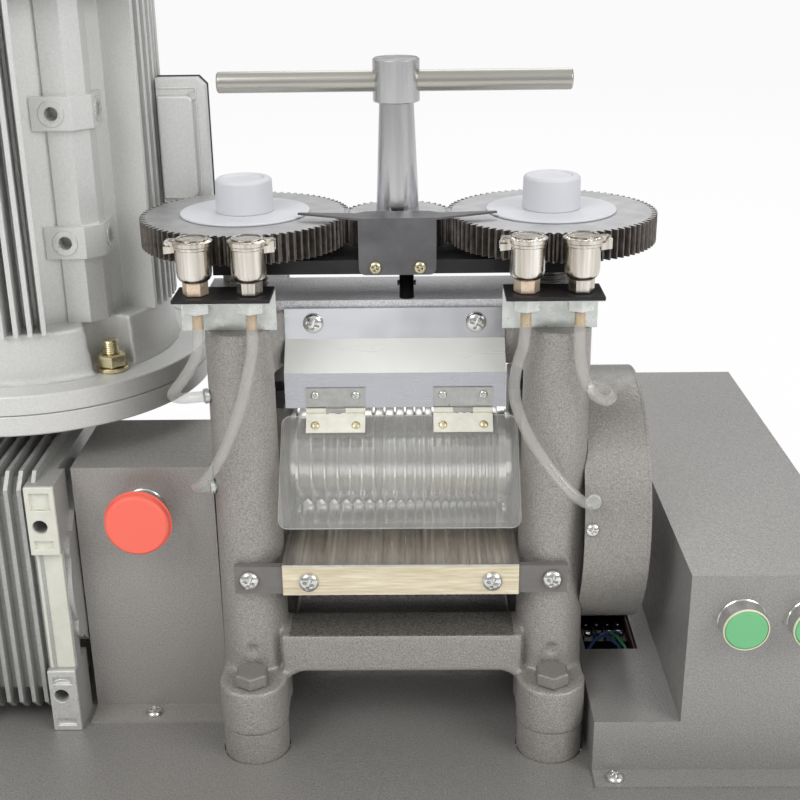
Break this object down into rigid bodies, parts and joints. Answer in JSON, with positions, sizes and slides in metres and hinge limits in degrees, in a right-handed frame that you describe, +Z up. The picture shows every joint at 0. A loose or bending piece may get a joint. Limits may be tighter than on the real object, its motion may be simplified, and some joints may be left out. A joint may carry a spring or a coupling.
{
  "type": "jewellers rolling mill",
  "caption": "Motor driven bench rolling mill: two grooved rolls in a four column frame, geared screw-down with tee handle, worm reducer, vertical motor and button console on a bed plate.",
  "frame": {"origin": "on the underside of the bed plate, midway between the four frame columns", "axes": "+X along the rolls to the operator's right, +Y away from the operator, +Z up"},
  "size_m": [0.67, 0.422, 0.527],
  "materials": {
    "hammertone_grey": "hammertone enamel",
    "bolt_steel": "plain",
    "dark_steel": "satin dark enamel",
    "bronze": "machined",
    "cast_iron": "machined",
    "stainless": "polished",
    "screw_steel": "bright plated",
    "clear_sheet": "frosted",
    "black_steel": "satin black",
    "nickel": "nickel plated",
    "brass": "turned",
    "alloy": "as cast",
    "yellow_zinc": "yellow passivated",
    "black_plastic": "matt",
    "gear_steel": "machined, oiled",
    "ground_steel": "ground",
    "white_plastic": "matt",
    "roll_steel": "ground and hardened",
    "red_plastic": "gloss",
    "green_plastic": "gloss",
    "clear_hose": "translucent"
  },
  "bodies": {
    "mill": {"bed_plate": "hammertone_grey", "foot_spacers": "hammertone_grey", "mill_frame": "hammertone_grey", "frame_bolts": "bolt_steel", "cap_plate": "dark_steel", "screw_nuts": "bronze", "lower_chocks": "cast_iron", "lower_bushes": "bronze", "roll_gear_housing": "hammertone_grey", "gear_housing_lid": "hammertone_grey", "guard_plate": "stainless", "table_bar": "hammertone_grey", "feed_table": "stainless", "pan_screws": "screw_steel", "hinge_upper_leaves": "stainless", "oil_brackets": "black_steel", "oil_cups": "nickel", "oil_fittings": "brass", "coupling_box": "hammertone_grey", "button_collars": "screw_steel", "reducer_housing": "alloy", "motor_flanges": "alloy", "flange_bolts": "yellow_zinc", "motor_body": "alloy", "fan_cowl": "alloy", "terminal_box": "alloy", "control_box": "hammertone_grey", "terminal_block": "black_plastic", "oil_hose_1": "clear_hose", "oil_hose_2": "clear_hose", "oil_hose_3": "clear_hose", "oil_hose_4": "clear_hose"},
    "upper_carriage": {"upper_chocks": "cast_iron", "upper_bushes": "bronze"},
    "bridge": {"bridge_bar": "black_steel", "pointer_cover": "dark_steel"},
    "handle": {"pinion": "gear_steel", "handle_column": "ground_steel", "t_bar": "ground_steel"},
    "left_screw_set": {"left_screw": "bolt_steel", "left_gear": "gear_steel", "left_dial": "white_plastic"},
    "right_screw_set": {"right_screw": "bolt_steel", "right_gear": "gear_steel", "right_dial": "white_plastic"},
    "upper_roll_set": {"upper_roll": "roll_steel", "upper_roll_gear": "gear_steel"},
    "lower_roll_set": {"lower_roll": "roll_steel", "lower_roll_gear": "gear_steel", "drive_coupling": "bolt_steel"},
    "motor_rotor_set": {"motor_rotor": "bolt_steel"},
    "visor_set": {"visor": "clear_sheet", "hinge_lower_leaves": "stainless"},
    "emergency_stop": {"estop_button": "red_plastic"},
    "left_push": {"left_push_button": "green_plastic"},
    "right_push": {"right_push_button": "green_plastic"},
    "cup_lid_1": {"oil_lid_1": "nickel"},
    "cup_lid_2": {"oil_lid_2": "nickel"},
    "cup_lid_3": {"oil_lid_3": "nickel"},
    "cup_lid_4": {"oil_lid_4": "nickel"}
  },
  "joints": [
    {"name": "handle_turn", "type": "hinge", "parent": "bridge", "child": "handle", "pos_m": [0, 0, 0.32], "axis": [0, 0, 1], "range_deg": [-1450, 365]},
    {"name": "bridge_lift", "type": "slide", "parent": "mill", "child": "bridge", "axis": [0, 0, 1], "range_m": [-0.0015, 0.006]},
    {"name": "upper_chock_lift", "type": "slide", "parent": "mill", "child": "upper_carriage", "axis": [0, 0, 1], "range_m": [-0.00155, 0.0062]},
    {"name": "left_screw_turn", "type": "hinge", "parent": "bridge", "child": "left_screw_set", "pos_m": [-0.09225, 0, 0.32], "axis": [0, 0, 1], "range_deg": [-190, 730]},
    {"name": "right_screw_turn", "type": "hinge", "parent": "bridge", "child": "right_screw_set", "pos_m": [0.09225, 0, 0.32], "axis": [0, 0, 1], "range_deg": [-190, 730]},
    {"name": "motor_spin", "type": "hinge", "parent": "mill", "child": "motor_rotor_set", "pos_m": [-0.251, 0.075, 0.3], "axis": [0, 0, 1], "continuous": true},
    {"name": "lower_roll_spin", "type": "hinge", "parent": "mill", "child": "lower_roll_set", "pos_m": [0, 0, 0.104], "axis": [1, 0, 0], "continuous": true},
    {"name": "upper_roll_spin", "type": "hinge", "parent": "upper_carriage", "child": "upper_roll_set", "pos_m": [0, 0, 0.172], "axis": [1, 0, 0], "continuous": true},
    {"name": "visor_swing", "type": "hinge", "parent": "mill", "child": "visor_set", "pos_m": [0, -0.0459, 0.22], "axis": [1, 0, 0], "range_deg": [-40, 40]},
    {"name": "emergency_stop_press", "type": "slide", "parent": "mill", "child": "emergency_stop", "axis": [0, 1, 0], "range_m": [0, 0.003], "stiffness_N_per_m": 900},
    {"name": "left_button_press", "type": "slide", "parent": "mill", "child": "left_push", "axis": [0, 1, 0], "range_m": [0, 0.003], "stiffness_N_per_m": 600},
    {"name": "right_button_press", "type": "slide", "parent": "mill", "child": "right_push", "axis": [0, 1, 0], "range_m": [0, 0.003], "stiffness_N_per_m": 600},
    {"name": "cup_lid_1_flip", "type": "hinge", "parent": "mill", "child": "cup_lid_1", "pos_m": [-0.1242, -0.08, 0.3326], "axis": [0, -1, 0], "range_deg": [0, 100]},
    {"name": "cup_lid_2_flip", "type": "hinge", "parent": "mill", "child": "cup_lid_2", "pos_m": [-0.0678, -0.08, 0.3326], "axis": [0, 1, 0], "range_deg": [0, 100]},
    {"name": "cup_lid_3_flip", "type": "hinge", "parent": "mill", "child": "cup_lid_3", "pos_m": [0.0583, -0.08, 0.3326], "axis": [0, -1, 0], "range_deg": [0, 100]},
    {"name": "cup_lid_4_flip", "type": "hinge", "parent": "mill", "child": "cup_lid_4", "pos_m": [0.1147, -0.08, 0.3326], "axis": [0, 1, 0], "range_deg": [0, 100]}
  ],
  "couplings": [
    {"joint": "handle_turn", "follows": "bridge_lift", "rad_per_m": -4188.8},
    {"joint": "upper_chock_lift", "follows": "bridge_lift", "ratio": 1},
    {"joint": "left_screw_turn", "follows": "bridge_lift", "rad_per_m": 2094.4},
    {"joint": "right_screw_turn", "follows": "bridge_lift", "rad_per_m": 2094.4},
    {"joint": "lower_roll_spin", "follows": "motor_spin", "ratio": 0.025},
    {"joint": "upper_roll_spin", "follows": "motor_spin", "ratio": -0.025}
  ]
}
